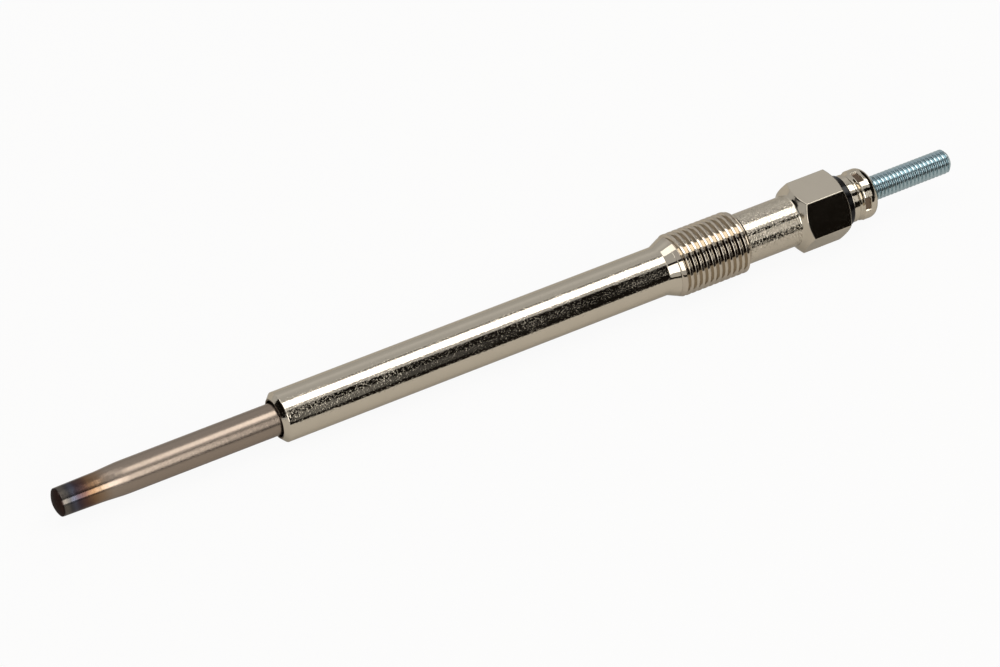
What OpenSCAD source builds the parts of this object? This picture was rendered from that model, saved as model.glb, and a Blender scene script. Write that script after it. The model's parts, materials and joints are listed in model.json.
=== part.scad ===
// Diesel glow plug with an M10 x 1 body thread and an M4 terminal stud.
// Every piece is drawn upright, with the glowing tip down at z = 0, and then laid on its side:
// the tip points to -X, a flat of the hexagon faces down, and the barrel's front rim and the
// front edge of the thread touch the surface that the plug lies on.

/* [Glow tube] */
// Outer diameter of the glow tube
tube_d = 5; // [4.6:0.1:5.4]
// Wall of the glow tube
tube_wall = 0.55; // [0.4:0.05:0.7]
// Length of the glow tube that stands out of the body
tube_exposed = 35.4; // [30:0.2:45]
// Length of the glow tube inside the body
tube_inside = 27; // [24:0.5:40]
// Diameter of the narrowed tip at its closed end
tip_d = 4.36; // [4.1:0.02:4.5]
// Diameter of the narrowed tip where its shoulder begins
tip_root_d = 4.6; // [4.5:0.02:4.8]
// Distance from the end of the tip to its shoulder
tip_len = 7.3; // [4:0.1:10]
// Length of the shoulder between the narrowed tip and the full tube
shoulder_len = 3.2; // [1.5:0.1:6]
// Radius of the domed end of the tip
dome_r = 4; // [3:0.25:8]
// Radius of the edge round the domed end
tip_edge_r = 0.35; // [0.1:0.05:0.6]
// Thickness of the closed end
tip_end_t = 1.3; // [1:0.1:2]

/* [Coils in the glow tube] */
// Diameter of the resistance wire
wire_d = 0.4; // [0.3:0.02:0.5]
// Insulating powder left between the coils and the wall of the tip
powder_gap = 0.38; // [0.3:0.02:0.6]
// Turns of the heating coil, at the tip
heating_turns = 7; // [4:1:9]
// Pitch of the heating coil
heating_pitch = 0.72; // [0.6:0.02:0.9]
// Turns of the control coil, behind the heating coil
control_turns = 13; // [8:1:16]
// Pitch of the control coil
control_pitch = 1.3; // [1:0.05:1.5]
// Straight lead of the wire at each end of the coils
lead_len = 1.2; // [0.8:0.1:2]

/* [Body] */
// Diameter of the flat ring at the body's front end
front_face_d = 6.2; // [6:0.1:7]
// Included angle of the sealing cone behind the front face
seat_angle = 93; // [60:1:120]
// Diameter of the long barrel
barrel_d = 7.8; // [7.4:0.1:8.6]
// Length from the front face to the flare in front of the thread
barrel_len = 65.3; // [50:0.5:90]
// Length of the flare between barrel and thread
flare_len = 2.5; // [1.5:0.1:4]
// Radius of the fillet between barrel and flare
flare_fillet = 1.5; // [0.5:0.1:3]
// Outer diameter of the body thread, M10 x 1
thread_d = 10; // [9.6:0.05:10.2]
// Length of the body thread
thread_len = 10.85; // [8:0.05:16]
// Angle between the axis and the chamfer behind the thread
thread_end_angle = 55; // [30:1:60]
// Diameter of the neck between thread and hexagon
neck_d = 8.1; // [7.6:0.1:8.6]
// Length of the neck
neck_len = 8.6; // [5:0.1:15]
// Radius of the fillet between the neck and the thread's chamfer
neck_fillet = 0.3; // [0.1:0.05:0.5]
// Width of the hexagon across its flats
hex_af = 10; // [9.9:0.1:12]
// Length of the hexagon with its fillet and its cones
hex_len = 9.2; // [7:0.1:12]
// Radius of the fillet between the neck and the hexagon
hex_fillet = 1.4; // [0.5:0.1:1.6]
// Angle between the axis and the cone at the hexagon's front end
hex_front_angle = 57; // [45:1:65]
// Angle between the axis and the cone at the hexagon's rear end
hex_rear_angle = 60; // [45:1:70]
// Diameter of the flat ring at the hexagon's rear end
hex_face_d = 9; // [8.6:0.1:9.4]

/* [Body bore] */
// Diameter of the relieved mouth round the glow tube
mouth_d = 5.7; // [5.5:0.05:5.9]
// Depth of the relieved mouth
mouth_depth = 2.5; // [1:0.1:5]
// Diameter of the bore round the connecting pin
bore_d = 5.3; // [5.1:0.1:5.6]
// Diameter of the counterbore for the body seal
seal_bore_d = 6.3; // [6:0.1:6.6]
// Depth of the counterbore for the body seal
seal_bore_depth = 5.8; // [4.5:0.1:8]

/* [Connecting pin] */
// Diameter of the pin where it passes through the body
shank_d = 3.5; // [3.2:0.1:3.7]
// Diameter of the land that the collar is crimped on
land_d = 3.58; // [3.4:0.02:3.6]
// Outer diameter of the terminal stud, M4
stud_d = 3.9; // [3.8:0.05:4]
// Length of the terminal stud beyond the collar
stud_len = 14.8; // [10:0.1:20]
// Chamfer at the end of the terminal stud
stud_chamfer = 0.5; // [0.2:0.05:0.8]

/* [Seals and washer] */
// Wall of the rubber sleeve in the open end of the glow tube
tube_seal_wall = 0.5; // [0.4:0.05:0.6]
// Length of that sleeve
tube_seal_len = 5; // [3:0.5:8]
// Outer diameter of the insulating washer
washer_d = 8.2; // [7.6:0.1:8.4]
// Thickness of the insulating washer's flange
washer_t = 1.6; // [1:0.1:2.5]
// Clearance of the washer's spigot in the counterbore
spigot_clear = 0.05; // [0.02:0.01:0.1]
// Clearance of the washer's bore round the stud, which passes through it
stud_clear = 0.2; // [0.16:0.02:0.3]

/* [Crimp collar] */
// Diameter of the collar's front rim
rim_d = 7.7; // [7.4:0.1:8]
// Length of the collar's front rim
rim_len = 0.6; // [0.4:0.1:0.8]
// Diameter in the groove behind the rim
groove_d = 7; // [6.8:0.1:7.2]
// Length of the collar
collar_len = 4.1; // [3.8:0.1:5]
// Largest diameter of the swell behind the groove
swell_d = 8.1; // [7.9:0.1:8.6]
// Radius of the swell's round section
swell_r = 1.3; // [1.1:0.05:1.4]
// Diameter of the collar's rear face
collar_face_d = 6.4; // [6.2:0.1:6.8]
// Diameter of the countersink in the collar's rear face
countersink_d = 5.4; // [4.6:0.1:5.8]
// Number of crimp dents round the swell
dent_count = 5; // [4:1:6]
// Width of a crimp dent round the collar
dent_w = 2.2; // [1:0.1:2.4]
// Length of a crimp dent along the collar
dent_len = 1.4; // [1:0.1:1.8]
// Depth of a crimp dent
dent_depth = 0.4; // [0.2:0.05:0.5]
// Turn of the crimp dents about the axis
dent_turn = 38; // [0:1:72]

/* [Hidden] */
$fn = 96;

// Steps of an arc in the tip's outline, of a turn of a coil, of its ends and of the wire's section
arc_steps = 8;
turn_steps = 12;
spread_steps = 6;
wire_sides = 6;
// Length by which a cutting solid passes the face that it cuts
cut = 0.1;
// Clearance between the wire and the powder pressed round it
powder_clear = 0.01;

// Radii that follow from the driving sizes
tube_r = tube_d / 2;
tube_bore_r = tube_r - tube_wall;
tip_r = tip_d / 2;
coil_r = tip_r - tube_wall - powder_gap - wire_d / 2;
pin_front_r = tube_bore_r - tube_seal_wall;
hex_corner_r = hex_af / sqrt(3);
seal_section_r = (seal_bore_d - shank_d) / 4;

// Stations along the axis, from the tip
front_z = tube_exposed;
seat_z = front_z + (barrel_d - front_face_d) / 2 / tan(seat_angle / 2);
tube_end_z = front_z + tube_inside;
barrel_end_z = front_z + barrel_len;
thread_z = barrel_end_z + flare_len;
thread_end_z = thread_z + thread_len;
neck_z = thread_end_z + (thread_d - neck_d) / 2 / tan(thread_end_angle);
neck_end_z = neck_z + neck_len;
hex_end_z = neck_end_z + hex_len;
seal_bore_z = hex_end_z - seal_bore_depth;
washer_end_z = hex_end_z + washer_t;
collar_end_z = washer_end_z + collar_len;
plug_len = collar_end_z + stud_len;

// Stations of the coils in the glow tube
spread_h = coil_r;
heating_z = tip_end_t + lead_len + spread_h;
control_z = heating_z + heating_turns * heating_pitch;
coils_end_z = control_z + control_turns * control_pitch;
pin_front_z = coils_end_z + spread_h + lead_len;
tube_seal_z = tube_end_z - tube_seal_len;

// The hexagon's front cone, carried back to the neck, and where it meets the flats
cone_z = neck_end_z + hex_fillet * tan(hex_front_angle / 2);
flat_z = cone_z + (hex_af - neck_d) / 2 / tan(hex_front_angle);

// Lean of the axis when the plug lies on the barrel's front rim and on the thread or the hexagon
thread_slope = (thread_d - barrel_d) / 2 / (thread_z - seat_z);
hex_slope = (hex_af - barrel_d) / 2 / (flat_z - seat_z);
rest_tilt = atan(max(thread_slope, hex_slope));
rest_lift = barrel_d / 2 * cos(rest_tilt) - seat_z * sin(rest_tilt);
rest_reach = plug_len * cos(rest_tilt) + (stud_d / 2 - stud_chamfer) * sin(rest_tilt);

// Lays an upright piece on its side, with the origin below the middle of the plug
module lie_down() {
    translate([-rest_reach / 2, 0, rest_lift]) rotate([0, 90 - rest_tilt, 0]) children();
}

// Ring or solid turned from an outline of [radius, height] points
module turned(outline) {
    rotate_extrude() polygon(outline);
}

// Fills a hollow corner of a turned outline with a fillet; u and w point along its two sides
module fillet(corner, u, w, r) {
    half = acos(u * w) / 2;
    run = r / tan(half);
    centre = corner + (u + w) / norm(u + w) * r / sin(half);
    difference() {
        polygon([corner, corner + u * run, centre, corner + w * run]);
        translate(centre) circle(r);
    }
}

// Points of an arc round a centre, from angle a to angle b
function arc(centre, r, a, b) = [for (k = [0 : arc_steps])
    let (angle = a + (b - a) * k / arc_steps) centre + r * [cos(angle), sin(angle)]];

// Domed end of the tip: a wide arc that runs into the edge's own arc
dome_turn = asin((tip_r - tip_edge_r) / (dome_r - tip_edge_r));
dome_edge_z = dome_r - (dome_r - tip_edge_r) * cos(dome_turn);
dome_end = concat(
    arc([0, dome_r], dome_r, -90, dome_turn - 90),
    arc([tip_r - tip_edge_r, dome_edge_z], tip_edge_r, dome_turn - 90, 0));

// Side of the narrowed tip, its shoulder and the tube, up to a height, a wall's thickness further in
function tube_side(wall, top) = [
    [tip_root_d / 2 - wall, tip_len],
    [tube_r - wall, tip_len + shoulder_len],
    [tube_r - wall, top],
    [0, top]];
// Outline of the space in the tube, up to a height
function tube_space(top) = concat(
    [[0, tip_end_t], [tip_r - tube_wall, tip_end_t]],
    tube_side(tube_wall, top));

// Sheath of the heater: closed, domed and narrowed at its tip, open at its rear end
module glow_tube() {
    color("#8f8378") difference() {
        turned(concat(dome_end, tube_side(0, tube_end_z)));
        turned(tube_space(tube_end_z + cut));
    }
}

// Centre line of the wire, as rings of [point, direction, angle round the axis]
function ring(r, a, z, direction) = [[r * cos(a), r * sin(a), z], direction, a];
function around(a) = [-sin(a), cos(a), 0];
function lead(a, z) = ring(0, a, z, [0, 0, 1]);
function turns(z, pitch, count, first) = [for (k = [first : count * turn_steps])
    let (a = 360 * k / turn_steps) ring(coil_r, a, z + pitch * k / turn_steps, around(a))];
// Half a turn that carries the wire between the axis and the coil; side is 1 at the tip, -1 at the pin
function spread(z, side) = [for (k = [1 : spread_steps - 1])
    let (
        u = side > 0 ? k / spread_steps : 1 - k / spread_steps,
        a = -180 * side * (1 - u),
        r = coil_r * (1 - cos(180 * u)) / 2,
        swing = side * coil_r * sin(180 * u) / 2 * PI,
        heading = swing * [cos(a), sin(a), 0] + PI * r * around(a) + [0, 0, spread_h * (1 - u)]
    ) ring(r, a, z - side * spread_h * (1 - u), heading / norm(heading))];
function heating_rings(reach = 0) = concat(
    [lead(-180, tip_end_t - reach), lead(-180, tip_end_t + lead_len)],
    spread(heating_z, 1),
    turns(heating_z, heating_pitch, heating_turns, 0));
function control_rings(reach = 0, first = 0) = concat(
    turns(control_z, control_pitch, control_turns, first),
    spread(coils_end_z, -1),
    [lead(180, pin_front_z - lead_len), lead(180, pin_front_z + reach)]);

// Wire of radius r along a list of rings
module wire(rings, r) {
    last = len(rings) - 1;
    points = [for (g = rings)
        let (
            radial = [cos(g[2]), sin(g[2]), 0],
            across = radial - (radial * g[1]) * g[1],
            side = across / norm(across),
            over = cross(g[1], side)
        )
        for (j = [0 : wire_sides - 1])
            let (b = 360 * j / wire_sides) g[0] + r * (cos(b) * side + sin(b) * over)];
    skin = [for (i = [0 : last - 1], j = [0 : wire_sides - 1])
        let (
            p = i * wire_sides + j,
            q = i * wire_sides + (j + 1) % wire_sides
        )
        each [[p, q + wire_sides, q], [p, p + wire_sides, q + wire_sides]]];
    ends = [
        [for (j = [0 : wire_sides - 1]) j],
        [for (j = [wire_sides - 1 : -1 : 0]) last * wire_sides + j]];
    polyhedron(points, concat(skin, ends), convexity = 10);
}

// Coil that glows, welded to the closed end of the tube
module heating_coil() {
    color("#b0a08c") wire(heating_rings(), wire_d / 2);
}

// Coil that limits the current as it warms, welded to the heating coil and to the pin
module control_coil() {
    color("#9c9a94") wire(control_rings(), wire_d / 2);
}

// Powder packed round the coils and the pin, up to the tube seal
module insulating_powder() {
    color("#e8e4da") difference() {
        turned(tube_space(tube_seal_z));
        wire(concat(heating_rings(cut), control_rings(cut, 1)), wire_d / 2 + powder_clear);
        translate([0, 0, pin_front_z]) cylinder(r = pin_front_r, h = plug_len);
    }
}

// Rubber sleeve that closes the tube round the pin
module tube_seal() {
    color("#3a2a26") turned([
        [pin_front_r, tube_seal_z],
        [tube_bore_r, tube_seal_z],
        [tube_bore_r, tube_end_z],
        [pin_front_r, tube_end_z]]);
}

// Half section of the body before its hexagon is cut
module body_profile() {
    barrel_r = barrel_d / 2;
    neck_r = neck_d / 2;
    flare = [thread_d / 2 - barrel_r, flare_len];
    polygon([
        [0, front_z],
        [front_face_d / 2, front_z],
        [barrel_r, seat_z],
        [barrel_r, barrel_end_z],
        [thread_d / 2, thread_z],
        [thread_d / 2, thread_end_z],
        [neck_r, neck_z],
        [neck_r, cone_z],
        [hex_af, cone_z + (hex_af - neck_r) / tan(hex_front_angle)],
        [hex_af, hex_end_z - (hex_af - hex_face_d / 2) / tan(hex_rear_angle)],
        [hex_face_d / 2, hex_end_z],
        [0, hex_end_z]]);
    fillet([barrel_r, barrel_end_z], [0, -1], flare / norm(flare), flare_fillet);
    fillet([neck_r, neck_z], [sin(thread_end_angle), -cos(thread_end_angle)], [0, 1], neck_fillet);
    fillet([neck_r, cone_z], [0, -1], [sin(hex_front_angle), cos(hex_front_angle)], hex_fillet);
}

// Shell turned from one hexagonal bar: seat, barrel, flare, thread, neck and hexagon, bored through
module plug_body() {
    color("#b8b0a2") difference() {
        intersection() {
            rotate_extrude() body_profile();
            union() {
                cylinder(r = hex_af, h = neck_end_z);
                translate([0, 0, neck_z]) rotate(30) cylinder(r = hex_corner_r, h = plug_len, $fn = 6);
            }
        }
        translate([0, 0, front_z - cut]) cylinder(d = mouth_d, h = mouth_depth + cut);
        translate([0, 0, front_z]) cylinder(r = tube_r, h = tube_inside);
        translate([0, 0, tube_end_z]) cylinder(d = bore_d, h = plug_len);
        translate([0, 0, seal_bore_z]) cylinder(d = seal_bore_d, h = plug_len);
    }
}

// Pin that carries the current from the terminal stud to the coils
module connecting_pin() {
    color("#a9b9bd") turned([
        [0, pin_front_z],
        [pin_front_r, pin_front_z],
        [pin_front_r, tube_end_z],
        [shank_d / 2, tube_end_z + (shank_d / 2 - pin_front_r)],
        [shank_d / 2, washer_end_z],
        [land_d / 2, washer_end_z],
        [land_d / 2, collar_end_z],
        [stud_d / 2, collar_end_z],
        [stud_d / 2, plug_len - stud_chamfer],
        [stud_d / 2 - stud_chamfer, plug_len],
        [0, plug_len]]);
}

// Rubber ring that seals the counterbore round the pin
module body_seal() {
    color("#1c1b1a") translate([0, 0, seal_bore_z + seal_section_r])
        rotate_extrude() translate([shank_d / 2 + seal_section_r, 0]) circle(seal_section_r);
}

// Insulating washer: a flange on the hexagon and a spigot that holds the body seal down
module insulating_washer() {
    bore_r = stud_d / 2 + stud_clear;
    spigot_r = seal_bore_d / 2 - spigot_clear;
    spigot_z = seal_bore_z + 2 * seal_section_r;
    color("#171616") turned([
        [bore_r, spigot_z],
        [spigot_r, spigot_z],
        [spigot_r, hex_end_z],
        [washer_d / 2, hex_end_z],
        [washer_d / 2, washer_end_z],
        [bore_r, washer_end_z]]);
}

// Distance along the axis from the swell's middle to where the swell has a given diameter
function swell_reach(d) = sqrt(pow(swell_r, 2) - pow(swell_r - (swell_d - d) / 2, 2));

// Half section of the collar: front rim, groove and swell, with a countersunk bore
module collar_profile() {
    swell_z = collar_end_z - swell_reach(collar_face_d);
    groove_z = washer_end_z + rim_len + (rim_d - groove_d) / 2;
    difference() {
        union() {
            polygon([
                [land_d / 2, washer_end_z],
                [rim_d / 2, washer_end_z],
                [rim_d / 2, washer_end_z + rim_len],
                [groove_d / 2, groove_z],
                [groove_d / 2, swell_z],
                [land_d / 2, swell_z]]);
            intersection() {
                translate([swell_d / 2 - swell_r, swell_z]) circle(swell_r);
                translate([land_d / 2, washer_end_z]) square([swell_d, collar_len]);
            }
            translate([land_d / 2, swell_z]) square([(collar_face_d - land_d) / 2, collar_end_z - swell_z]);
        }
        polygon([
            [land_d / 2 - cut, collar_end_z - (countersink_d - land_d) / 2 - cut],
            [countersink_d / 2 + cut, collar_end_z + cut],
            [land_d / 2 - cut, collar_end_z + cut]]);
    }
}

// Collar that is crimped on the pin and holds the washer on the hexagon
module crimp_collar() {
    dent_z = collar_end_z - swell_reach(collar_face_d) - dent_len / 2;
    color("#b8b0a2") difference() {
        rotate_extrude() collar_profile();
        for (k = [0 : dent_count - 1])
            rotate(dent_turn + 360 * k / dent_count)
                translate([swell_d / 2 - dent_depth, -dent_w / 2, dent_z]) cube([swell_d, dent_w, dent_len]);
    }
}

lie_down() glow_tube();
lie_down() heating_coil();
lie_down() control_coil();
lie_down() insulating_powder();
lie_down() tube_seal();
lie_down() plug_body();
lie_down() connecting_pin();
lie_down() body_seal();
lie_down() insulating_washer();
lie_down() crimp_collar();
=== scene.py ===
"""Diesel glow plug: dressed pieces, finishes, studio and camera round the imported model."""
import json
import math

import bmesh
import bpy
import numpy as np
from mathutils import Matrix, Vector


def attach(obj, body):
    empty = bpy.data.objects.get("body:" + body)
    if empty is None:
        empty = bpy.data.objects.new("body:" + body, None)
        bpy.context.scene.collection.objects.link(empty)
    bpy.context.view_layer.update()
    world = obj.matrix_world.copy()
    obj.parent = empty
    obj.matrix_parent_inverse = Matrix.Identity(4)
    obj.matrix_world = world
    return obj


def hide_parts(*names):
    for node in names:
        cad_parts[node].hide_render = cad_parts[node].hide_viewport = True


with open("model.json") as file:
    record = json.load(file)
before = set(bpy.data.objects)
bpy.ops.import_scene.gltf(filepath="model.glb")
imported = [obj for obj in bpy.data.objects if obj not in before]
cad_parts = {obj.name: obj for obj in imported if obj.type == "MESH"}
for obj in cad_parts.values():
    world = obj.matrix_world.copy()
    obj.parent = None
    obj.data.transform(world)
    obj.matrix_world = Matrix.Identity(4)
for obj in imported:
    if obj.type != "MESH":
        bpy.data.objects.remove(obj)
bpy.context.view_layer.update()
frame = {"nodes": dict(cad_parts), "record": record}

MM = 0.001

# Stations along the axis from the tip, radii and other lengths in millimetres.
# DENT_SECTOR and DENT_TURN are in degrees, and the other angles in radians.
TIP_END_R = 2.18
TIP_ROOT_R = 2.3
TIP_LEN = 7.3
SHOULDER_END = 10.5
SHOULDER_FRONT_ARC = 20.0
SHOULDER_REAR_ARC = 30.0
DOME_R = 4.0
TIP_EDGE_R = 0.35
TIP_FLOOR = 1.3
BURNT_LEN = 0.72
TUBE_R = 2.5
TUBE_WALL = 0.55
TUBE_BORE_R = TUBE_R - TUBE_WALL
TUBE_END = 62.4
FRONT = 35.4
FRONT_FACE_R = 3.1
SEAT = 36.159
BARREL_R = 3.9
BARREL_END = 100.7
FLARE_FILLET = 1.5
THREAD_START = 103.2
THREAD_END = 114.05
THREAD_R = 5.0
THREAD_END_ANGLE = math.radians(55)
NECK = 114.715
NECK_R = 4.05
NECK_FILLET = 0.3
HEX_CONE = 124.075
HEX_FILLET = 0.4
HEX_FRONT_ANGLE = math.radians(57)
HEX_REAR_ANGLE = math.radians(60)
HEX_FLAT_R = 5.0
HEX_FACE_R = 4.5
HEX_END = 132.515
MOUTH_R = 2.85
MOUTH_END = 37.9
BORE_R = 2.65
SEAL_BORE_R = 3.15
SEAL_BORE = 126.715
WASHER_R = 4.1
WASHER_END = 133.65
SPIGOT = 128.115
SPIGOT_R = 3.1
WASHER_BORE_R = 2.15
WASHER_SEAM_R = 2.45
RIM_R = 3.85
RIM_END = 134.715
GROOVE_R = 3.5
GROOVE_SLOPE = 0.25
SWELL_START = 135.25
SWELL_RISE = 0.45
CREST_START = 136.2
SWELL = 136.995
SWELL_R = 1.3
SWELL_MID_R = 2.75
COLLAR_FACE_R = 3.2
DENT_COUNT = 5
DENT_SECTOR = 360 / DENT_COUNT
DENT_TURN = 3.0
DENT_HALF_W = 1.0
DENT_FLOOR_R = 3.6
DENT_START = 135.65
DENT_END = 136.65
DENT_END_SOFT = 0.07
DENT_SIDE_IN = 0.08
DENT_SIDE_OUT = 0.1
COLLAR_END = 138.215
COUNTERSINK_R = 2.7
LAND_R = 1.79
COLLAR_SEAM_R = 2.29
SHANK_R = 1.75
PIN_FRONT = 27.74
PIN_FRONT_R = 1.45
STUD_R = 1.95
STUD_CHAMFER = 0.5
STUD_LEAD_IN = 0.1
PLUG_LEN = 153.015

# The plug's own axes in the row frame
stud = next(m for m in frame["record"]["mounts"] if m["name"] == "terminal_stud")
along = Vector(stud["axis"]).normalized()
across = Vector((0.0, 1.0, 0.0))
above = along.cross(across)
stud_middle = (COLLAR_END + PLUG_LEN - STUD_CHAMFER) / 2
tip = Vector(stud["pos_m"]) - along * stud_middle * MM


# Turned pieces: rows of (station, radius) points, one for each column of angles round the axis.
# Angle 0 is above the axis, and 90 degrees is on the camera's side.

# Points beside an arc keep the straight part next to it smooth: share of the arc's radius, and the most.
ARC_SUPPORT_SHARE = 0.6
ARC_SUPPORT_MOST = 0.1
# Points closer than this, in metres, are welded.
WELD_DISTANCE = 4e-7
ROUND_COLUMNS = 128
PIN_COLUMNS = 96


def soft_path(corners, turn=12.0):
    """Outline through (station, radius, corner radius) points, each corner rounded by an arc."""
    points = [np.array(corners[0][:2])]
    for before, here, after in zip(corners, corners[1:], corners[2:]):
        a, b, c = (np.array(p[:2], float) for p in (before, here, after))
        radius = here[2]
        if radius <= 0:
            points.append(b)
            continue
        back = (a - b) / np.linalg.norm(a - b)
        on = (c - b) / np.linalg.norm(c - b)
        half = math.acos(max(-1.0, min(1.0, float(back @ on)))) / 2
        run = radius / math.tan(half)
        middle = b + (back + on) / np.linalg.norm(back + on) * radius / math.sin(half)
        start = b + back * run - middle
        end = b + on * run - middle
        swing = math.pi - 2 * half
        steps = max(3, math.ceil(math.degrees(swing) / turn))
        support = min(ARC_SUPPORT_SHARE * radius, ARC_SUPPORT_MOST)
        points.append(b + back * (run + support))
        for k in range(steps + 1):
            t = k / steps
            arm = (math.sin((1 - t) * swing) * start + math.sin(t * swing) * end) / math.sin(swing)
            points.append(middle + arm)
        points.append(b + on * (run + support))
    points.append(np.array(corners[-1][:2]))
    return np.array(points)


def rings(path, angles):
    """Rows of a plain turned surface."""
    return np.repeat(np.asarray(path, float)[:, None, :], len(angles), axis=1)


def grid_faces(rows, columns, shift=0):
    """Quads of a grid that closes round the axis; a helix closes with its rows shifted by one pitch."""
    i, j = np.meshgrid(np.arange(rows - 1), np.arange(columns - 1), indexing="ij")
    first = (i * columns + j).ravel()
    faces = np.stack([first, first + 1, first + columns + 1, first + columns], axis=1)
    i = np.arange(rows - 1 - shift)
    seam = i * columns + columns - 1
    start = (i + shift) * columns
    closing = np.stack([seam, start, start + columns, seam + columns], axis=1)
    return np.concatenate([faces, closing])


def thread_rows(angles, start, end, base, crest_r, depth, pitch, form):
    """Rows that follow a right-handed thread, cut no deeper than the blank's own radius."""
    turn = np.asarray(angles) / (2 * math.pi)
    count = math.ceil((end - start) / pitch) + 2
    place = np.array([m + f for m in range(count) for f, _ in form])
    height = np.array([h for _ in range(count) for _, h in form])
    station = start + pitch * (place[:, None] - 1 + turn[None, :])
    station = np.clip(station, start, end)
    radius = np.minimum(base(station), crest_r - depth * (1 - height[:, None]))
    return np.stack([station, radius], axis=2), len(form)


def turned_piece(name, blocks, angles, node, finish):
    """Mesh of a piece from blocks of rows, welded where they meet."""
    angles = np.asarray(angles)
    radial_up, radial_side = np.cos(angles), np.sin(angles)
    points, faces, offset = [], [], 0
    for rows, shift in blocks:
        station, radius = rows[..., 0], rows[..., 1]
        xyz = (np.array(tip)[None, None, :]
               + MM * station[..., None] * np.array(along)
               + MM * (radius * radial_up)[..., None] * np.array(above)
               - MM * (radius * radial_side)[..., None] * np.array(across))
        points.append(xyz.reshape(-1, 3))
        faces.append(grid_faces(rows.shape[0], len(angles), shift) + offset)
        offset += rows.shape[0] * len(angles)
    mesh = bpy.data.meshes.new(name)
    mesh.from_pydata(np.concatenate(points).tolist(), [], np.concatenate(faces).tolist())
    work = bmesh.new()
    work.from_mesh(mesh)
    bmesh.ops.remove_doubles(work, verts=work.verts, dist=WELD_DISTANCE)
    bmesh.ops.recalc_face_normals(work, faces=work.faces)
    for face in work.faces:
        face.smooth = True
    work.to_mesh(mesh)
    work.free()
    mesh.materials.append(finish)
    piece = bpy.data.objects.new(name, mesh)
    bpy.context.scene.collection.objects.link(piece)
    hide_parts(node)
    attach(piece, "root")
    return piece


def even(count):
    """Evenly spaced columns round the axis."""
    return np.arange(count) * 2 * math.pi / count


# Half of a thread form as (share of the pitch, height), from the root to the crest
half_form = [
    (0.0, 0.0), (0.02, 0.0), (0.04, 0.04), (0.065, 0.12), (0.175, 0.515),
    (0.28, 0.9), (0.3, 0.96), (0.33, 0.99), (0.37, 1.0)]
thread_form = half_form + [(0.5, 1.0)] + [(1 - f, h) for f, h in reversed(half_form[1:])]


# Finishes

# Stations where the scuffs on the barrel start to fade and end, and the length of the temper colours
SCUFFS = 40.0
SCUFFS_END = 70.0
TEMPER_LEN = 12.0


class Shade:
    """An output of a shader node; arithmetic on it adds Math nodes to its tree."""

    def __init__(self, tree, socket=None):
        self.tree = tree
        self.socket = socket

    def node(self, kind, settings=None, inputs=None, out=0):
        """Adds a node: its settings first, then values or links for its sockets."""
        made = self.tree.nodes.new(kind)
        for key, value in (settings or {}).items():
            if key == "stops":
                ramp = made.color_ramp
                while len(ramp.elements) < len(value):
                    ramp.elements.new(1.0)
                for element, (place, colour) in zip(ramp.elements, value):
                    element.position = place
                    element.color = (*colour, 1.0)
            else:
                setattr(made, key, value)
        for key, value in (inputs or {}).items():
            if isinstance(value, Shade):
                self.tree.links.new(value.socket, made.inputs[key])
            else:
                made.inputs[key].default_value = value
        return Shade(self.tree, made.outputs[out] if made.outputs else None)

    def math(self, operation, *values):
        """Result of a Math node."""
        return self.node("ShaderNodeMath", {"operation": operation}, dict(enumerate(values)))

    def __add__(self, other):
        return self.math("ADD", self, other)

    __radd__ = __add__

    def __sub__(self, other):
        return self.math("SUBTRACT", self, other)

    def __rsub__(self, other):
        return self.math("SUBTRACT", other, self)

    def __mul__(self, other):
        return self.math("MULTIPLY", self, other)

    __rmul__ = __mul__

    def __truediv__(self, other):
        return self.math("DIVIDE", self, other)

    def vector(self, operation, *values, out=0):
        """Result of a Vector Math node."""
        return self.node("ShaderNodeVectorMath", {"operation": operation}, dict(enumerate(values)), out)

    def scaled(self, direction):
        """A direction times this value."""
        return self.node("ShaderNodeVectorMath", {"operation": "SCALE"},
                         {0: tuple(direction), "Scale": self})

    def dot(self, direction):
        """Length of this vector along a direction."""
        return self.vector("DOT_PRODUCT", self, tuple(direction), out=1)

    def step(self, low, high):
        """0 below low, 1 above high and smooth between."""
        return self.node("ShaderNodeMapRange", {"interpolation_type": "SMOOTHSTEP"},
                         {"Value": self, "From Min": low, "From Max": high})

    def band(self, low, high, soft):
        """1 between low and high, 0 elsewhere, with soft ends."""
        return self.step(low - soft, low + soft) * (1 - self.step(high - soft, high + soft))

    def mix(self, first, second):
        """Colour between two colours, by this value."""
        return self.node("ShaderNodeMix", {"data_type": "RGBA"}, {0: self, 6: first, 7: second}, out=2)

    def noise(self, scale, detail):
        """Cloudy pattern over this vector, from 0 to 1."""
        return self.node("ShaderNodeTexNoise", None, {"Vector": self, "Scale": scale, "Detail": detail})


def rgb(red, green, blue):
    """Colour without transparency."""
    return (red, green, blue, 1.0)


def cleared(block):
    """Empty shader tree of a material or a world."""
    block.use_nodes = True
    block.node_tree.nodes.clear()
    return Shade(block.node_tree)


def new_finish(name):
    """Empty material; returns it, its tree and the place on the plug in millimetres from the tip."""
    material = bpy.data.materials.new(name)
    tree = cleared(material)
    place = tree.node("ShaderNodeTexCoord", out="Object")
    place = place.vector("SUBTRACT", place, tuple(tip))
    place = place.node("ShaderNodeVectorMath", {"operation": "SCALE"}, {0: place, "Scale": 1 / MM})
    return material, tree, place


def surface(tree, **sockets):
    """Principled shader with these socket values or links, as the material's surface."""
    names = {key: key.replace("_", " ").title().replace("Ior", "IOR") for key in sockets}
    shader = tree.node("ShaderNodeBsdfPrincipled", None, {names[k]: v for k, v in sockets.items()})
    tree.node("ShaderNodeOutputMaterial", None, {"Surface": shader})


def relief(tree, height, depth):
    """Normal of a surface with this height pattern; depth is in millimetres."""
    return tree.node("ShaderNodeBump", None, {"Height": height, "Distance": depth * MM, "Strength": 1.0})


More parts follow.
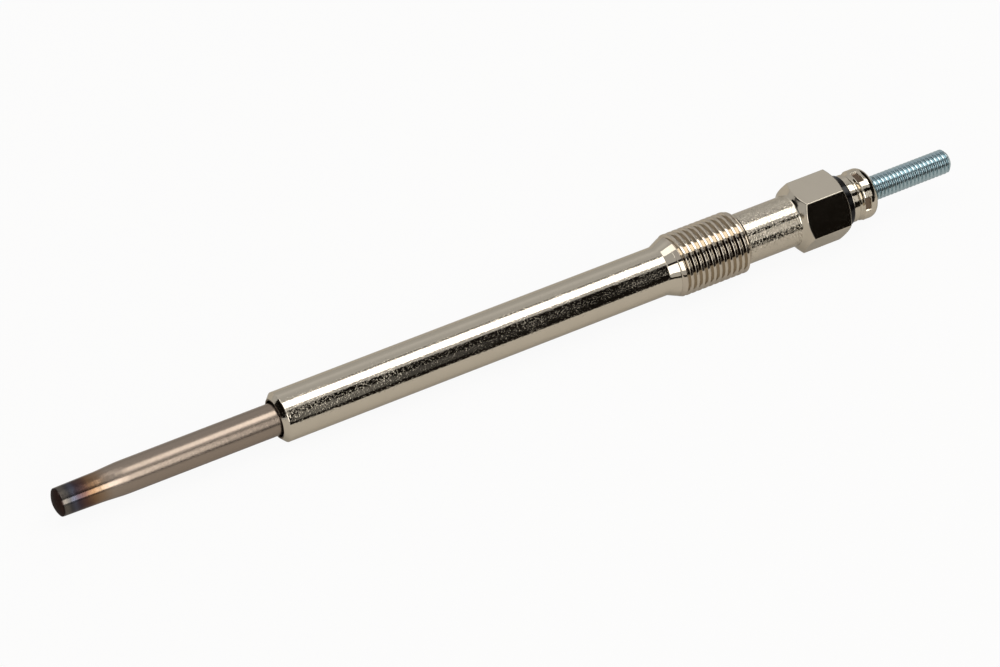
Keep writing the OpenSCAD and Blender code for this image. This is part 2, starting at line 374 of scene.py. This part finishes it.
def nickel_finish():
    """Bright nickel over turned steel: mirror-smooth on the hexagon, grainy on the thread and the collar,
    pitted on the neck, with specks and fine scores on the barrel, and painted shade on the floors of the
    collar's dents."""
    material, tree, place = new_finish("bright_nickel")
    station = place.dot(along)
    cloud = place.noise(0.35, 3.0)
    patches = place.noise(0.16, 2.0).step(0.42, 0.62)
    centre = station.scaled(along)
    radius = place.vector("LENGTH", place.vector("SUBTRACT", place, centre), out=1)
    thread = station.band(THREAD_START - 1.0, NECK, 0.3)
    crests = thread * radius.step(THREAD_R - 0.14, THREAD_R - 0.04)
    neck = station.band(NECK - 0.2, HEX_CONE - 0.1, 0.15)
    collar = station.band(WASHER_END, COLLAR_END + 0.5, 0.1)
    grainy = 0.45 * crests + 0.24 * collar
    barrel = 1 - station.step(BARREL_END - 0.6, BARREL_END + 0.4)
    scuffed = barrel * (1 - station.step(SCUFFS, SCUFFS_END))
    grain = place.noise(3.3, 1.0)
    pits = place.noise(3.2, 1.0).step(0.45, 0.57)
    specks = place.noise(4.5, 1.0).step(0.58, 0.72)
    scores = place.vector("MULTIPLY", place, (1.6, 5.0, 5.0)).noise(1.0, 1.0).step(0.6, 0.7)
    mouth_wall = 1 - radius.step(FRONT_FACE_R - 0.06, FRONT_FACE_R + 0.02)
    mouth = mouth_wall * (1 - station.step(MOUTH_END, MOUTH_END + 1.0))
    # Painted shade: the floors of the collar's dents are mixed to a dark brown, standing in for the shade
    # inside the pockets
    shaded_dent_floor = 1 - radius.step(DENT_FLOOR_R + 0.15, DENT_FLOOR_R + 0.24)
    dents = station.band(DENT_START + 0.08, DENT_END, 0.05) * shaded_dent_floor
    colour = cloud.mix(rgb(0.52, 0.463, 0.37), rgb(0.56, 0.5, 0.4))
    colour = thread.mix(colour, rgb(0.505, 0.441, 0.353))
    colour = mouth.mix(colour, rgb(0.09, 0.062, 0.045))
    # Painted shade: dark brown on the dent floors
    colour = dents.mix(colour, rgb(0.16, 0.115, 0.08))
    rough = 0.05 + 0.02 * cloud + 0.03 * grainy + 0.03 * neck + 0.03 * barrel * patches - 0.03 * scuffed
    worn = barrel * (0.1 + 0.06 * patches + 0.02 * scuffed) * (specks + 0.6 * scores)
    height = grainy * grain + 0.8 * neck * pits + worn + 0.04 * grain * (1 - barrel)
    surface(tree, base_color=colour, metallic=1.0, roughness=rough, specular_tint=rgb(0.74, 0.72, 0.68),
            normal=relief(tree, height, 0.035))
    return material


def heater_finish():
    """Ground heat-proof steel, tempered by its own glow at the tip."""
    material, tree, place = new_finish("heater_steel")
    station = place.dot(along)
    cloud = place.noise(0.6, 3.0)
    lines = place.vector("MULTIPLY", place, (9.0, 0.8, 0.8)).noise(1.0, 2.0)
    scores = place.vector("MULTIPLY", place, (3.0, 3.0, 9.0)).noise(1.0, 2.0)
    warmed = (station + 1.2 * (cloud - 0.5) * station.step(0.8, 3.0)) / TEMPER_LEN
    colour = warmed.node("ShaderNodeValToRGB", {"stops": [
        (0.07, (0.018, 0.011, 0.01)),
        (0.085, (0.108, 0.092, 0.078)),
        (0.12, (0.108, 0.095, 0.08)),
        (0.175, (0.055, 0.052, 0.053)),
        (0.23, (0.068, 0.068, 0.088)),
        (0.28, (0.052, 0.036, 0.041)),
        (0.38, (0.092, 0.049, 0.036)),
        (0.47, (0.185, 0.108, 0.058)),
        (0.57, (0.235, 0.158, 0.10)),
        (0.72, (0.285, 0.228, 0.18)),
    ]}, {"Fac": warmed})
    tip_end = 1 - station.step(6.5, SHOULDER_END)
    rough = 0.22 + 0.06 * cloud - 0.12 * tip_end
    surface(tree, base_color=colour, metallic=1.0, roughness=rough, specular_tint=rgb(0.78, 0.76, 0.74),
            normal=relief(tree, 0.8 * lines + 0.2 * scores, 0.012))
    return material


def burnt_finish():
    """Dull brown scale on the tube's closed end."""
    material, tree, place = new_finish("burnt_end")
    cloud = place.noise(1.4, 3.0)
    grain = place.noise(5.0, 2.0)
    colour = cloud.mix(rgb(0.004, 0.0022, 0.0018), rgb(0.028, 0.012, 0.008))
    surface(tree, base_color=colour, roughness=0.5 + 0.2 * cloud, specular_ior_level=0.06,
            normal=relief(tree, grain, 0.02))
    return material


def zinc_finish():
    """Bluish zinc plate on the pin and its thread."""
    material, tree, place = new_finish("blue_zinc")
    cloud = place.noise(1.2, 3.0)
    grain = place.noise(9.0, 2.0)
    colour = cloud.mix(rgb(0.34, 0.44, 0.47), rgb(0.41, 0.51, 0.53))
    surface(tree, base_color=colour, metallic=1.0, roughness=0.16 + 0.1 * cloud,
            normal=relief(tree, grain, 0.006))
    return material


def insulator_finish():
    """Black moulded insulator, half gloss."""
    material, tree, place = new_finish("black_moulding")
    cloud = place.noise(1.5, 3.0)
    grain = place.noise(7.0, 2.0)
    colour = cloud.mix(rgb(0.0016, 0.0012, 0.0012), rgb(0.003, 0.0024, 0.0024))
    surface(tree, base_color=colour, roughness=0.12 + 0.06 * cloud, specular_ior_level=0.2,
            normal=relief(tree, grain, 0.01))
    return material


def rubber_finish():
    """Matt dark rubber of the two seals."""
    material, tree, place = new_finish("seal_rubber")
    cloud = place.noise(2.0, 3.0)
    grain = place.noise(8.0, 2.0)
    colour = cloud.mix(rgb(0.022, 0.017, 0.015), rgb(0.04, 0.032, 0.028))
    surface(tree, base_color=colour, roughness=0.6 + 0.2 * cloud, normal=relief(tree, grain, 0.01))
    return material


def powder_finish():
    """Packed magnesia round the coils."""
    material, tree, place = new_finish("packed_magnesia")
    cloud = place.noise(1.0, 3.0)
    grain = place.noise(14.0, 2.0)
    colour = cloud.mix(rgb(0.74, 0.71, 0.65), rgb(0.84, 0.82, 0.77))
    surface(tree, base_color=colour, roughness=0.85 + 0.1 * cloud, normal=relief(tree, grain, 0.02))
    return material


def wire_finish():
    """Drawn resistance wire."""
    material, tree, place = new_finish("resistance_wire")
    cloud = place.noise(2.5, 3.0)
    grain = place.noise(16.0, 2.0)
    colour = cloud.mix(rgb(0.40, 0.37, 0.33), rgb(0.5, 0.48, 0.45))
    surface(tree, base_color=colour, metallic=1.0, roughness=0.3 + 0.15 * cloud,
            normal=relief(tree, grain, 0.003))
    return material


nickel = nickel_finish()
heater_steel = heater_finish()
burnt_end = burnt_finish()
zinc = zinc_finish()
insulator = insulator_finish()
rubber = rubber_finish()
magnesia = powder_finish()
wire = wire_finish()

for inner_piece, inner_finish in (
        ("heating_coil", wire),
        ("control_coil", wire),
        ("insulating_powder", magnesia),
        ("tube_seal", rubber),
        ("body_seal", rubber)):
    inner_mesh = frame["nodes"][inner_piece].data
    inner_mesh.materials.clear()
    inner_mesh.materials.append(inner_finish)


# Glow tube

def glow_tube():
    """Domed and narrowed heater sheath, with scale on its closed end."""
    angles = even(ROUND_COLUMNS)
    dome_turn = math.asin((TIP_END_R - TIP_EDGE_R) / (DOME_R - TIP_EDGE_R))
    edge_z = DOME_R - (DOME_R - TIP_EDGE_R) * math.cos(dome_turn)
    dome = [(DOME_R - DOME_R * math.cos(t), DOME_R * math.sin(t)) for t in np.linspace(0, dome_turn, 9)]
    edge = [(edge_z - TIP_EDGE_R * math.cos(t), TIP_END_R - TIP_EDGE_R + TIP_EDGE_R * math.sin(t))
            for t in np.linspace(dome_turn, math.pi / 2, 8)[1:]]
    side = soft_path([
        (edge_z, TIP_END_R, 0),
        (TIP_LEN, TIP_ROOT_R, SHOULDER_FRONT_ARC),
        (SHOULDER_END, TUBE_R, SHOULDER_REAR_ARC),
        (TUBE_END, TUBE_R, 0.1),
        (TUBE_END, TUBE_BORE_R, 0.1),
        (SHOULDER_END, TUBE_BORE_R, 0.3),
        (TIP_LEN, TIP_ROOT_R - TUBE_WALL, 0.3),
        (TIP_FLOOR, TIP_END_R - TUBE_WALL, 0.2),
        (TIP_FLOOR, 0.0, 0)], turn=3.0)
    path = np.concatenate([dome, edge, side[1:]])
    piece = turned_piece("glow_tube_sheath", [(rings(path, angles), 0)], angles, "glow_tube", heater_steel)
    piece.data.materials.append(burnt_end)
    for face in piece.data.polygons:
        if (face.center - tip).dot(along) < BURNT_LEN * MM:
            face.material_index = 1


# Body

HEX_CORNER_R = 0.15
HEX_CORNER_DEGREES = 1.1
HEX_EDGE = 0.12
HEX_EDGE_REACH = 1.2
HEX_LAST_RING = 0.2
THREAD_DEPTH = 0.5
THREAD_PITCH = 1.0
ROOT_OVERLAP = 0.02


def hexagon_angles():
    """Columns of the body: even on the flats and close together at the hexagon's corners."""
    corner = [-HEX_CORNER_DEGREES, -0.75, -0.5, -0.25, 0.0, 0.25, 0.5, 0.75, HEX_CORNER_DEGREES]
    flat = np.linspace(HEX_CORNER_DEGREES, 60 - HEX_CORNER_DEGREES, 25)[1:-1]
    sector = np.concatenate([corner, flat])
    degrees = np.concatenate([30 + 60 * k + sector for k in range(6)])
    return np.radians(np.sort(degrees % 360.0))


def hexagon_radius(angles):
    """Distance from the axis to a hexagon with rounded corners and a flat at angle 0."""
    off = np.abs((np.asarray(angles) + math.pi / 6) % (math.pi / 3) - math.pi / 6)
    flat = HEX_FLAT_R / np.cos(off)
    reach = (HEX_FLAT_R - HEX_CORNER_R) / math.cos(math.pi / 6)
    turn_in = math.pi / 6 - off
    inside = np.maximum(HEX_CORNER_R ** 2 - (reach * np.sin(turn_in)) ** 2, 0.0)
    corner = reach * np.cos(turn_in) + np.sqrt(inside)
    tangent = math.atan((HEX_FLAT_R - HEX_CORNER_R) * math.tan(math.pi / 6) / HEX_FLAT_R)
    return np.where(off > tangent, corner, flat)


def soft_min(a, b, width):
    """Smaller of two radii, with the edge between them rounded."""
    overlap = np.maximum(width - np.abs(a - b), 0.0) / width
    return np.minimum(a, b) - overlap ** 2 * width / 4


def plug_body():
    """Turned shell: seat cone, barrel, flare, thread, neck, hexagon and stepped bore."""
    angles = hexagon_angles()
    flare = (THREAD_R - BARREL_R) / (THREAD_START - BARREL_END)
    chamfer = math.tan(THREAD_END_ANGLE)
    cut_r = THREAD_R - THREAD_DEPTH - ROOT_OVERLAP
    cut_start = BARREL_END + (cut_r - BARREL_R) / flare
    cut_end = THREAD_END + (THREAD_R - cut_r) / chamfer

    def blank(station):
        """Radius of the body before its thread is cut."""
        ahead = BARREL_R + (station - BARREL_END) * flare
        behind = THREAD_R - (station - THREAD_END) * chamfer
        return np.minimum(np.minimum(ahead, behind), THREAD_R)

    front = soft_path([
        (MOUTH_END, TUBE_R, 0),
        (MOUTH_END, MOUTH_R, 0.1),
        (FRONT, MOUTH_R, 0.06),
        (FRONT, FRONT_FACE_R, 0.06),
        (SEAT, BARREL_R, 0.16),
        (BARREL_END, BARREL_R, FLARE_FILLET),
        (cut_start, cut_r, 0)], turn=6.0)
    thread, pitch_rows = thread_rows(
        angles, cut_start, cut_end, blank, THREAD_R, THREAD_DEPTH, THREAD_PITCH, thread_form)

    front_slope = math.tan(HEX_FRONT_ANGLE)
    rear_slope = math.tan(HEX_REAR_ANGLE)
    fillet_run = HEX_FILLET * math.tan(HEX_FRONT_ANGLE / 2)
    cone_start = HEX_CONE + fillet_run * math.cos(HEX_FRONT_ANGLE)
    cone_start_r = NECK_R + fillet_run * math.sin(HEX_FRONT_ANGLE)
    neck = soft_path([
        (cut_end, cut_r, 0),
        (NECK, NECK_R, NECK_FILLET),
        (HEX_CONE, NECK_R, HEX_FILLET),
        (cone_start, cone_start_r, 0)], turn=5.0)[:-2]
    neck = np.concatenate([neck, [[cone_start, cone_start_r]]])

    flat_r = hexagon_radius(angles)
    front_edge = HEX_CONE + (flat_r - NECK_R) / front_slope
    rear_edge = HEX_END - (flat_r - HEX_FACE_R) / rear_slope
    near = HEX_EDGE / front_slope * np.linspace(-HEX_EDGE_REACH, HEX_EDGE_REACH, 9)
    rows = [cone_start + (front_edge + near[0] - cone_start) * t for t in (0.0, 0.5)]
    rows += [front_edge + n for n in near]
    flat_len = rear_edge - front_edge - 2 * near[-1]
    rows += [front_edge + near[-1] + flat_len * t for t in (0.25, 0.5, 0.75)]
    rows += [rear_edge + n for n in near]
    station = np.array(rows)
    front_cone = NECK_R + (station - HEX_CONE) * front_slope
    rear_cone = HEX_FACE_R + (HEX_END - station) * rear_slope
    radius = soft_min(soft_min(front_cone, flat_r[None, :], HEX_EDGE), rear_cone, HEX_EDGE)
    hexagon = np.stack([station, radius], axis=2)

    rear = soft_path([
        (HEX_END - HEX_LAST_RING, HEX_FACE_R + HEX_LAST_RING * rear_slope, 0),
        (HEX_END, HEX_FACE_R, 0.06),
        (HEX_END, SEAL_BORE_R, 0.06),
        (SEAL_BORE, SEAL_BORE_R, 0.1),
        (SEAL_BORE, BORE_R, 0.1),
        (TUBE_END, BORE_R, 0.05),
        (TUBE_END, TUBE_R, 0.05),
        (MOUTH_END, TUBE_R, 0)])
    hexagon = np.concatenate([hexagon, rings(rear[:1], angles)])
    blocks = [(rings(front, angles), 0), (thread, pitch_rows), (rings(neck, angles), 0),
              (hexagon, 0), (rings(rear, angles), 0)]
    piece = turned_piece("plug_body_shell", blocks, angles, "plug_body", nickel)


# Connecting pin

STUD_DEPTH = 0.28
STUD_PITCH = 0.7


def connecting_pin():
    """Stepped pin that ends in the terminal stud."""
    angles = even(PIN_COLUMNS)
    root_r = STUD_R - STUD_DEPTH
    cut_start = COLLAR_END - STUD_LEAD_IN
    cut_end = PLUG_LEN - STUD_CHAMFER + STUD_DEPTH

    def blank(station):
        """Radius of the stud before its thread is cut."""
        ahead = root_r + (station - cut_start)
        behind = STUD_R - (station - PLUG_LEN + STUD_CHAMFER)
        return np.minimum(np.minimum(ahead, behind), STUD_R)

    shank = soft_path([
        (PIN_FRONT, 0.0, 0),
        (PIN_FRONT, PIN_FRONT_R, 0.1),
        (TUBE_END, PIN_FRONT_R, 0.1),
        (TUBE_END + SHANK_R - PIN_FRONT_R, SHANK_R, 0.1),
        (WASHER_END, SHANK_R, 0.01),
        (WASHER_END, LAND_R, 0.01),
        (cut_start, LAND_R, 0.05),
        (cut_start, root_r, 0)])
    thread, pitch_rows = thread_rows(
        angles, cut_start, cut_end, blank, STUD_R, STUD_DEPTH, STUD_PITCH, thread_form)
    end = soft_path([
        (cut_end, root_r, 0),
        (PLUG_LEN, STUD_R - STUD_CHAMFER, 0.08),
        (PLUG_LEN, 0.0, 0)])
    blocks = [(rings(shank, angles), 0), (thread, pitch_rows), (rings(end, angles), 0)]
    piece = turned_piece("terminal_pin", blocks, angles, "connecting_pin", zinc)


# Insulating washer

def insulating_washer():
    """Moulded washer with a spigot."""
    angles = even(ROUND_COLUMNS)
    path = soft_path([
        (SPIGOT, WASHER_SEAM_R, 0),
        (SPIGOT, SPIGOT_R, 0.1),
        (HEX_END, SPIGOT_R, 0.05),
        (HEX_END, WASHER_R, 0.15),
        (WASHER_END, WASHER_R, 0.2),
        (WASHER_END, WASHER_BORE_R, 0.1),
        (SPIGOT, WASHER_BORE_R, 0.1),
        (SPIGOT, WASHER_SEAM_R, 0)])
    piece = turned_piece("washer", [(rings(path, angles), 0)], angles, "insulating_washer", insulator)


# Crimp collar

def collar_angles():
    """Columns of the collar: close together at the sides of the dents."""
    sector = np.concatenate([
        np.linspace(-DENT_SECTOR / 2, -19.5, 8),
        np.linspace(-18.5, -14.5, 9),
        np.linspace(-13, 13, 11),
        np.linspace(14.5, 18.5, 9),
        np.linspace(19.5, DENT_SECTOR / 2, 8)[:-1]])
    degrees = np.concatenate([DENT_TURN + DENT_SECTOR * k + sector for k in range(DENT_COUNT)])
    return np.radians(np.sort(degrees % 360.0))


def ramp(value, low, high):
    """0 below low, 1 above high and smooth between."""
    t = np.clip((value - low) / (high - low), 0.0, 1.0)
    return t * t * (3 - 2 * t)


def crimp_collar():
    """Collar with a rim, a groove and a dented swell."""
    angles = collar_angles()
    crest_r = SWELL_MID_R + SWELL_R
    face_turn = math.acos((COLLAR_FACE_R - SWELL_MID_R) / SWELL_R)
    front = soft_path([
        (WASHER_END, COLLAR_SEAM_R, 0),
        (WASHER_END, RIM_R, 0.12),
        (RIM_END, RIM_R, 0.12),
        (RIM_END + GROOVE_SLOPE, GROOVE_R, 0.1),
        (SWELL_START, GROOVE_R, 0.15),
        (SWELL_START + SWELL_RISE, crest_r, 0.4),
        (SWELL, crest_r, 0)])
    swell = [(SWELL + SWELL_R * math.sin(t), SWELL_MID_R + SWELL_R * math.cos(t))
             for t in np.linspace(0, face_turn, 24)]
    crest = [(s, crest_r) for s in np.linspace(CREST_START, SWELL, 12)]
    rear = soft_path([
        swell[-1] + (0,),
        (COLLAR_END, COUNTERSINK_R, 0.1),
        (COLLAR_END - COUNTERSINK_R + LAND_R, LAND_R, 0.05),
        (WASHER_END, LAND_R, 0.05),
        (WASHER_END, COLLAR_SEAM_R, 0)])
    rows = rings(np.concatenate([front[:-1], crest[:-1], swell, rear[1:]]), angles)
    station, radius = rows[..., 0], rows[..., 1]
    off = np.degrees(angles) - DENT_TURN
    off = np.radians((off + DENT_SECTOR / 2) % DENT_SECTOR - DENT_SECTOR / 2)
    reach = DENT_FLOOR_R * np.tan(np.abs(off))
    wide = 1 - ramp(reach, DENT_HALF_W - DENT_SIDE_IN, DENT_HALF_W + DENT_SIDE_OUT)
    begun = ramp(station, DENT_START - DENT_END_SOFT, DENT_START + DENT_END_SOFT)
    ended = ramp(station, DENT_END - DENT_END_SOFT, DENT_END + DENT_END_SOFT)
    long = begun * (1 - ended)
    floor = np.minimum(radius, (DENT_FLOOR_R / np.cos(off))[None, :])
    outside = radius > COLLAR_FACE_R
    rows[..., 1] = np.where(outside, radius + (floor - radius) * long * wide[None, :], radius)
    piece = turned_piece("collar", [(rows, 0)], angles, "crimp_collar", nickel)


glow_tube()
plug_body()
connecting_pin()
insulating_washer()
crimp_collar()


# Camera: fitted to the photograph's outline, in the plug's own axes.
# The focal length and the aim are in pixels, and the distance is in metres.

IMAGE_WIDTH = 1000
FOCAL = 3914.0
CAMERA_AZIMUTH = math.radians(-28.825)
CAMERA_ELEVATION = math.radians(42.696)
CAMERA_ROLL = math.radians(-0.617)
CAMERA_DISTANCE = 0.5847
LOOK_STATION = 73.65
AIM_RIGHT = 3.3
AIM_DOWN = -2.7
SENSOR = 36.0


def photo_camera():
    """Camera at the photograph's viewing angle."""
    a, e, r = CAMERA_AZIMUTH, CAMERA_ELEVATION, CAMERA_ROLL
    back = (along * (math.sin(a) * math.cos(e)) - across * (math.cos(a) * math.cos(e))
            + above * math.sin(e))
    level = along * math.cos(a) + across * math.sin(a)
    rise = back.cross(level)
    right = level * math.cos(r) + rise * math.sin(r)
    rise = rise * math.cos(r) - level * math.sin(r)
    eye = tip + along * LOOK_STATION * MM + back * CAMERA_DISTANCE
    back = (back + right * (AIM_RIGHT / FOCAL) - rise * (AIM_DOWN / FOCAL)).normalized()
    right = (right - back * right.dot(back)).normalized()
    rise = back.cross(right)
    data = bpy.data.cameras.new("camera")
    data.sensor_width = SENSOR
    data.lens = FOCAL / IMAGE_WIDTH * SENSOR
    data.clip_start = 0.01
    data.clip_end = 20.0
    camera = bpy.data.objects.new("camera", data)
    turn = Matrix((right, rise, back)).transposed().to_4x4()
    camera.matrix_world = Matrix.Translation(eye) @ turn
    bpy.context.scene.collection.objects.link(camera)
    bpy.context.scene.camera = camera


photo_camera()


# Studio: pale floor, even surroundings, soft lamps and narrow panels,
# and dark cards for the metal to mirror; all in metres

FLOOR_HALF = 3.0
FLOOR_DROP = 0.00002
FLOOR_SEEN = 0.93
FLOOR_MIRRORED = 0.3
SKY_GLOW = 0.63
SKY_BAND_GLOW = 0.76
SKY_BAND_LOW = 0.46
SKY_BAND_HIGH = 0.7
SKY_BAND_SOFT = 0.12


def plane(name, centre, side, up):
    """Rectangle from its middle and its two half sides."""
    centre, side, up = Vector(centre), Vector(side), Vector(up)
    mesh = bpy.data.meshes.new(name)
    mesh.from_pydata([centre - side - up, centre + side - up, centre + side + up, centre - side + up],
                     [], [(0, 1, 2, 3)])
    board = bpy.data.objects.new(name, mesh)
    bpy.context.scene.collection.objects.link(board)
    return board


def floor_finish():
    """Pale floor that the camera sees close to white, and the metal a little lighter than it is."""
    material = bpy.data.materials.new("pale_floor")
    tree = cleared(material)
    seen = tree.node("ShaderNodeLightPath", out="Is Camera Ray")
    mirrored = tree.node("ShaderNodeLightPath", out="Is Glossy Ray")
    through = tree.node("ShaderNodeLightPath", out="Is Transmission Ray")
    lit = tree.node("ShaderNodeBsdfDiffuse", None, {"Color": rgb(0.50, 0.472, 0.43)})
    white = tree.node("ShaderNodeEmission", None, {"Color": rgb(1.0, 1.0, 1.0), "Strength": 1.0})
    share = FLOOR_SEEN * seen + FLOOR_MIRRORED * (mirrored + through)
    shader = tree.node("ShaderNodeMixShader", None, {0: share, 1: lit, 2: white})
    tree.node("ShaderNodeOutputMaterial", None, {"Surface": shader})
    return material


def card_finish():
    """Near-black card."""
    material = bpy.data.materials.new("dark_card")
    tree = cleared(material)
    shader = tree.node("ShaderNodeBsdfDiffuse", None, {"Color": rgb(0.012, 0.010, 0.008)})
    tree.node("ShaderNodeOutputMaterial", None, {"Surface": shader})
    return material


def lamp(name, centre, target, width, height, radiance):
    """Rectangular soft lamp of an even brightness, turned to a point."""
    data = bpy.data.lights.new(name, "AREA")
    data.shape = "RECTANGLE"
    data.size = width
    data.size_y = height
    data.energy = radiance * math.pi * width * height
    soft = bpy.data.objects.new(name, data)
    centre = Vector(centre)
    facing = (centre - Vector(target)).to_track_quat("Z", "Y")
    soft.matrix_world = Matrix.Translation(centre) @ facing.to_matrix().to_4x4()
    soft.visible_camera = False
    bpy.context.scene.collection.objects.link(soft)


def sky():
    """Even surroundings, a little brighter in a band above the horizon."""
    world = bpy.data.worlds.new("studio")
    tree = cleared(world)
    white = rgb(0.99, 1.0, 1.03)
    height = tree.node("ShaderNodeTexCoord", out="Generated").dot((0, 0, 1))
    even_glow = tree.node("ShaderNodeBackground", None, {"Color": white, "Strength": SKY_GLOW})
    band_glow = tree.node("ShaderNodeBackground", None, {"Color": white, "Strength": SKY_BAND_GLOW})
    share = height.band(SKY_BAND_LOW, SKY_BAND_HIGH, SKY_BAND_SOFT)
    glow = tree.node("ShaderNodeMixShader", None, {0: share, 1: even_glow, 2: band_glow})
    tree.node("ShaderNodeOutputWorld", None, {"Surface": glow})
    bpy.context.scene.world = world


def studio():
    """Floor, cards and lamps; the cards show only in what the metal mirrors."""
    floor = plane("floor", (0, 0, -FLOOR_DROP), (FLOOR_HALF, 0, 0), (0, FLOOR_HALF, 0))
    floor.data.materials.append(floor_finish())
    dark = card_finish()
    for name, centre, side, up in (
            ("front_card", (0.645, -0.95, 0.8), (0.485, 0, 0), (0, 0, 0.8)),
            ("low_card", (0.24, -0.66, 0.075), (0.075, 0, 0), (0, 0, 0.075)),
            ("floor_card", (0.365, -0.491, 0.0004), (0.385, 0, 0), (0, 0.457, 0)),
            ("back_strip", (0.265, 0.195, 0.62), (0.095, 0, 0), (0, 0.014, 0)),
            ("left_strip", (-0.225, -0.407, 0.566), (0.175, 0, 0), (0, 0.0366, 0.0261)),
            ("right_card", (0.85, 0.05, 0.6), (0, 1.0, 0), (0, 0, 0.55)),
            ("left_card", (-1.0, 0.25, 0.525), (0, 0.55, 0), (0, 0, 0.325)),
            ("left_low_card", (-1.0, -0.2, 0.14), (0, 0.22, 0), (0, 0, 0.07))):
        card = plane(name, centre, side, up)
        card.data.materials.append(dark)
        card.visible_camera = False
        card.visible_shadow = False
        card.visible_diffuse = False
    lamp("overhead_lamp", (0.3125, -0.046, 0.6), (0.3125, -0.046, 0.0), 0.485, 0.302, 3.5)
    lamp("left_front_lamp", (-0.15, -0.597, 0.366), (-0.15, 0, 0), 0.49, 0.415, 2.8)
    lamp("tip_panel", (-0.0205, -0.2132, 0.1306), (-0.0205, 0, 0), 0.039, 0.148, 2.0)
    lamp("fill_panel", (0.124, -0.46, 0.445), (0.124, 0, 0), 0.052, 0.76, 1.1)
    lamp("mouth_panel", (0.1735, -0.601, 0.219), (0.1735, 0, 0), 0.031, 0.296, 0.22)
    lamp("barrel_panel", (0.207, -0.601, 0.219), (0.207, 0, 0), 0.036, 0.296, 0.08)
    lamp("neck_panel", (0.477, -0.7715, 0.4635), (0.477, 0, 0), 0.102, 0.449, 1.0)
    lamp("left_back_lamp", (-0.23, 0.25, 0.60), (-0.23, 0.25, 0), 0.46, 0.34, 1.6)


studio()
sky()

bpy.context.scene.view_settings.view_transform = "Standard"
